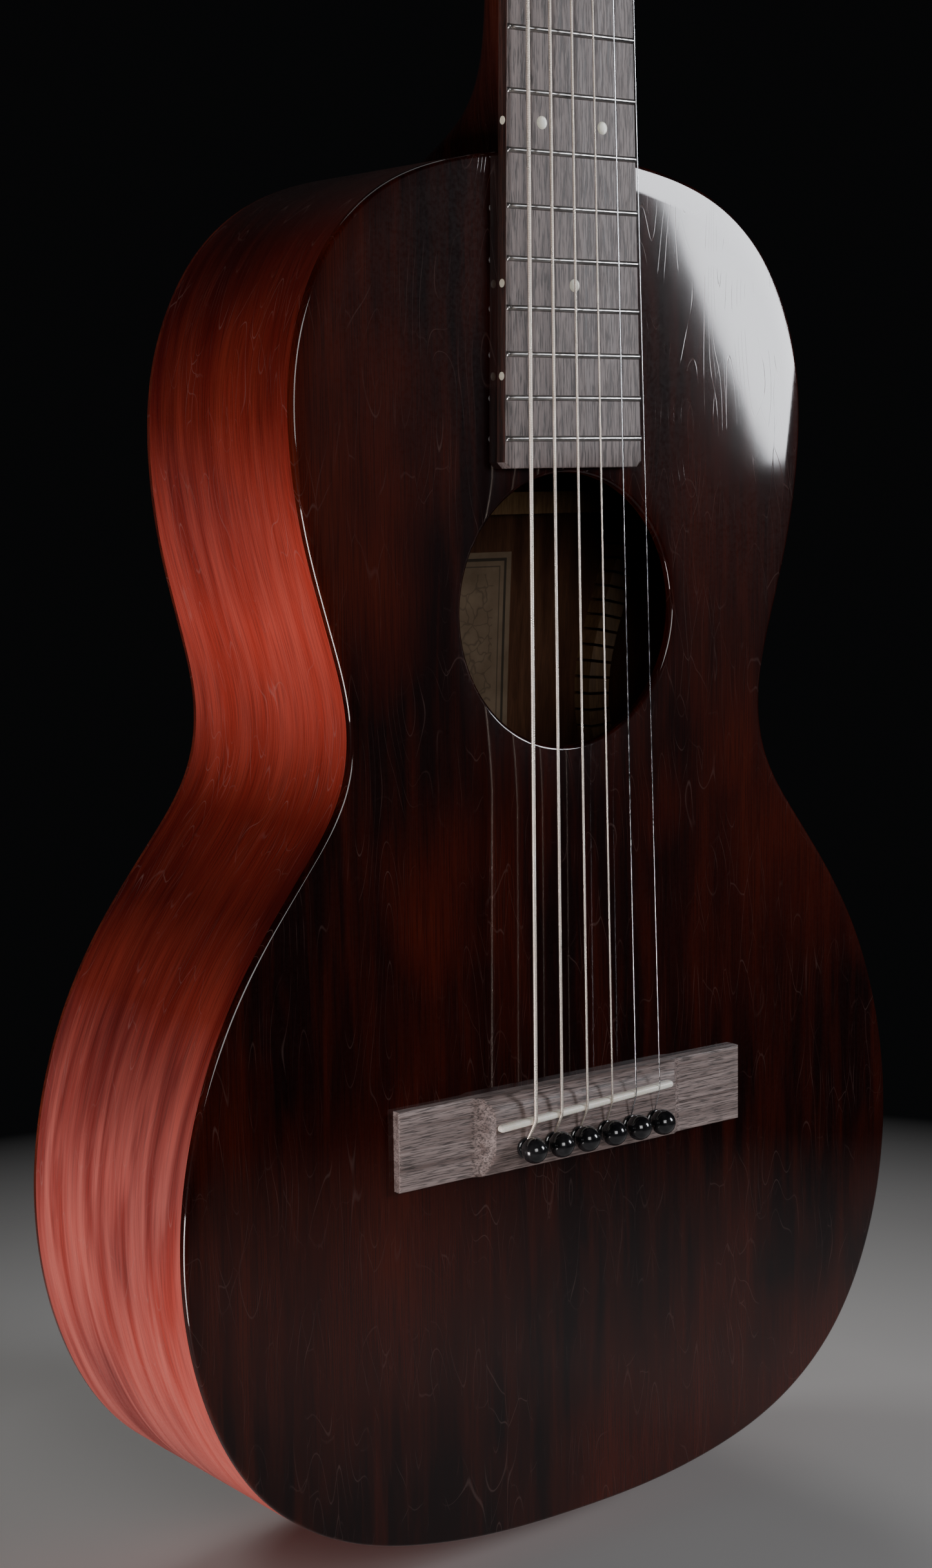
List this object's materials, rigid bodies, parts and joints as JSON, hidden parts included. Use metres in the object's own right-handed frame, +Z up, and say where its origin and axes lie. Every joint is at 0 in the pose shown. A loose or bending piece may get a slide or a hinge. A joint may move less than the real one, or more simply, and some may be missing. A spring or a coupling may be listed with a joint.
{
  "type": "acoustic guitar",
  "caption": "Small-bodied flat-top acoustic guitar with a twelve-fret neck, a slotted head, geared tuners and pinned steel strings.",
  "frame": {"origin": "bottom centre of the whole instrument: under the end pin's head, in the middle of its width and depth", "axes": "+Z up the neck, +X towards the treble side, the soundboard faces -Y"},
  "size_m": [0.3078, 0.1199, 0.9571],
  "materials": {
    "back_mahogany": "dark lacquered mahogany, high gloss",
    "black_plastic": "high gloss",
    "block_wood": "bare",
    "bone": "polished bone",
    "brace_wood": "bare spruce",
    "brass": "aged",
    "button_plastic": "aged ivory-coloured plastic",
    "ebony": "polished",
    "label_paper": "aged matt paper",
    "lining_wood": "bare",
    "neck_mahogany": "dark lacquered mahogany, gloss",
    "nickel_silver": "worn polish",
    "pearl": "pearl",
    "plain_steel": "drawn wire",
    "plate_nickel": "worn nickel plate",
    "rosewood": "oiled, satin",
    "side_mahogany": "red-brown lacquered mahogany, high gloss",
    "top_mahogany": "dark lacquered mahogany, high gloss, crazed",
    "wound_bronze": "fine wound wire"
  },
  "bodies": {
    "root": {"back": "back_mahogany", "back_braces": "brace_wood", "back_centre_strip": "brace_wood", "ball_ends": "brass", "bass_side": "side_mahogany", "bridge": "rosewood", "bridge_pins": "black_plastic", "bridge_plate": "brace_wood", "end_pin": "ebony", "face_dots": "pearl", "fingerboard": "rosewood", "frets": "nickel_silver", "head_veneer": "rosewood", "kerfed_linings": "lining_wood", "label": "label_paper", "neck": "neck_mahogany", "neck_block": "block_wood", "nut": "bone", "plate_screws": "plate_nickel", "saddle": "bone", "short_top_braces": "brace_wood", "side_dots": "pearl", "soundboard": "top_mahogany", "string_1_high_e": "plain_steel", "string_2_b": "plain_steel", "string_3_g": "wound_bronze", "string_4_d": "wound_bronze", "string_5_a": "wound_bronze", "string_6_low_e": "wound_bronze", "tail_block": "block_wood", "tone_bars": "brace_wood", "treble_side": "side_mahogany", "tuner_plate_bass": "plate_nickel", "tuner_plate_treble": "plate_nickel", "x_braces": "brace_wood"},
    "roller_6": {"tuner_roller_6": "plate_nickel", "tuner_gear_6": "brass"},
    "key_6": {"tuner_key_6": "plate_nickel", "tuner_button_6": "button_plastic"},
    "roller_5": {"tuner_roller_5": "plate_nickel", "tuner_gear_5": "brass"},
    "key_5": {"tuner_key_5": "plate_nickel", "tuner_button_5": "button_plastic"},
    "roller_4": {"tuner_roller_4": "plate_nickel", "tuner_gear_4": "brass"},
    "key_4": {"tuner_key_4": "plate_nickel", "tuner_button_4": "button_plastic"},
    "roller_3": {"tuner_roller_3": "plate_nickel", "tuner_gear_3": "brass"},
    "key_3": {"tuner_key_3": "plate_nickel", "tuner_button_3": "button_plastic"},
    "roller_2": {"tuner_roller_2": "plate_nickel", "tuner_gear_2": "brass"},
    "key_2": {"tuner_key_2": "plate_nickel", "tuner_button_2": "button_plastic"},
    "roller_1": {"tuner_roller_1": "plate_nickel", "tuner_gear_1": "brass"},
    "key_1": {"tuner_key_1": "plate_nickel", "tuner_button_1": "button_plastic"}
  },
  "joints": [
    {"name": "key_6_turn", "type": "hinge", "parent": "root", "child": "key_6", "pos_m": [-0.03327, -0.02125, 0.82815], "axis": [0, 0.9703, -0.2419], "continuous": true},
    {"name": "roller_6_turn", "type": "hinge", "parent": "root", "child": "roller_6", "pos_m": [-0.03327, -0.01928, 0.83605], "axis": [1, 0, 0], "continuous": true},
    {"name": "key_5_turn", "type": "hinge", "parent": "root", "child": "key_5", "pos_m": [-0.03327, -0.01278, 0.86211], "axis": [0, 0.9703, -0.2419], "continuous": true},
    {"name": "roller_5_turn", "type": "hinge", "parent": "root", "child": "roller_5", "pos_m": [-0.03327, -0.01081, 0.87001], "axis": [1, 0, 0], "continuous": true},
    {"name": "key_4_turn", "type": "hinge", "parent": "root", "child": "key_4", "pos_m": [-0.03327, -0.00432, 0.89607], "axis": [0, 0.9703, -0.2419], "continuous": true},
    {"name": "roller_4_turn", "type": "hinge", "parent": "root", "child": "roller_4", "pos_m": [-0.03327, -0.00235, 0.90397], "axis": [1, 0, 0], "continuous": true},
    {"name": "key_3_turn", "type": "hinge", "parent": "root", "child": "key_3", "pos_m": [0.03327, -0.00432, 0.89607], "axis": [0, 0.9703, -0.2419], "continuous": true},
    {"name": "roller_3_turn", "type": "hinge", "parent": "root", "child": "roller_3", "pos_m": [0.03327, -0.00235, 0.90397], "axis": [1, 0, 0], "continuous": true},
    {"name": "key_2_turn", "type": "hinge", "parent": "root", "child": "key_2", "pos_m": [0.03327, -0.01278, 0.86211], "axis": [0, 0.9703, -0.2419], "continuous": true},
    {"name": "roller_2_turn", "type": "hinge", "parent": "root", "child": "roller_2", "pos_m": [0.03327, -0.01081, 0.87001], "axis": [1, 0, 0], "continuous": true},
    {"name": "key_1_turn", "type": "hinge", "parent": "root", "child": "key_1", "pos_m": [0.03327, -0.02125, 0.82815], "axis": [0, 0.9703, -0.2419], "continuous": true},
    {"name": "roller_1_turn", "type": "hinge", "parent": "root", "child": "roller_1", "pos_m": [0.03327, -0.01928, 0.83605], "axis": [1, 0, 0], "continuous": true}
  ],
  "couplings": [
    {"joint": "roller_6_turn", "follows": "key_6_turn", "ratio": -0.071429},
    {"joint": "roller_5_turn", "follows": "key_5_turn", "ratio": -0.071429},
    {"joint": "roller_4_turn", "follows": "key_4_turn", "ratio": -0.071429},
    {"joint": "roller_3_turn", "follows": "key_3_turn", "ratio": -0.071429},
    {"joint": "roller_2_turn", "follows": "key_2_turn", "ratio": -0.071429},
    {"joint": "roller_1_turn", "follows": "key_1_turn", "ratio": -0.071429}
  ]
}
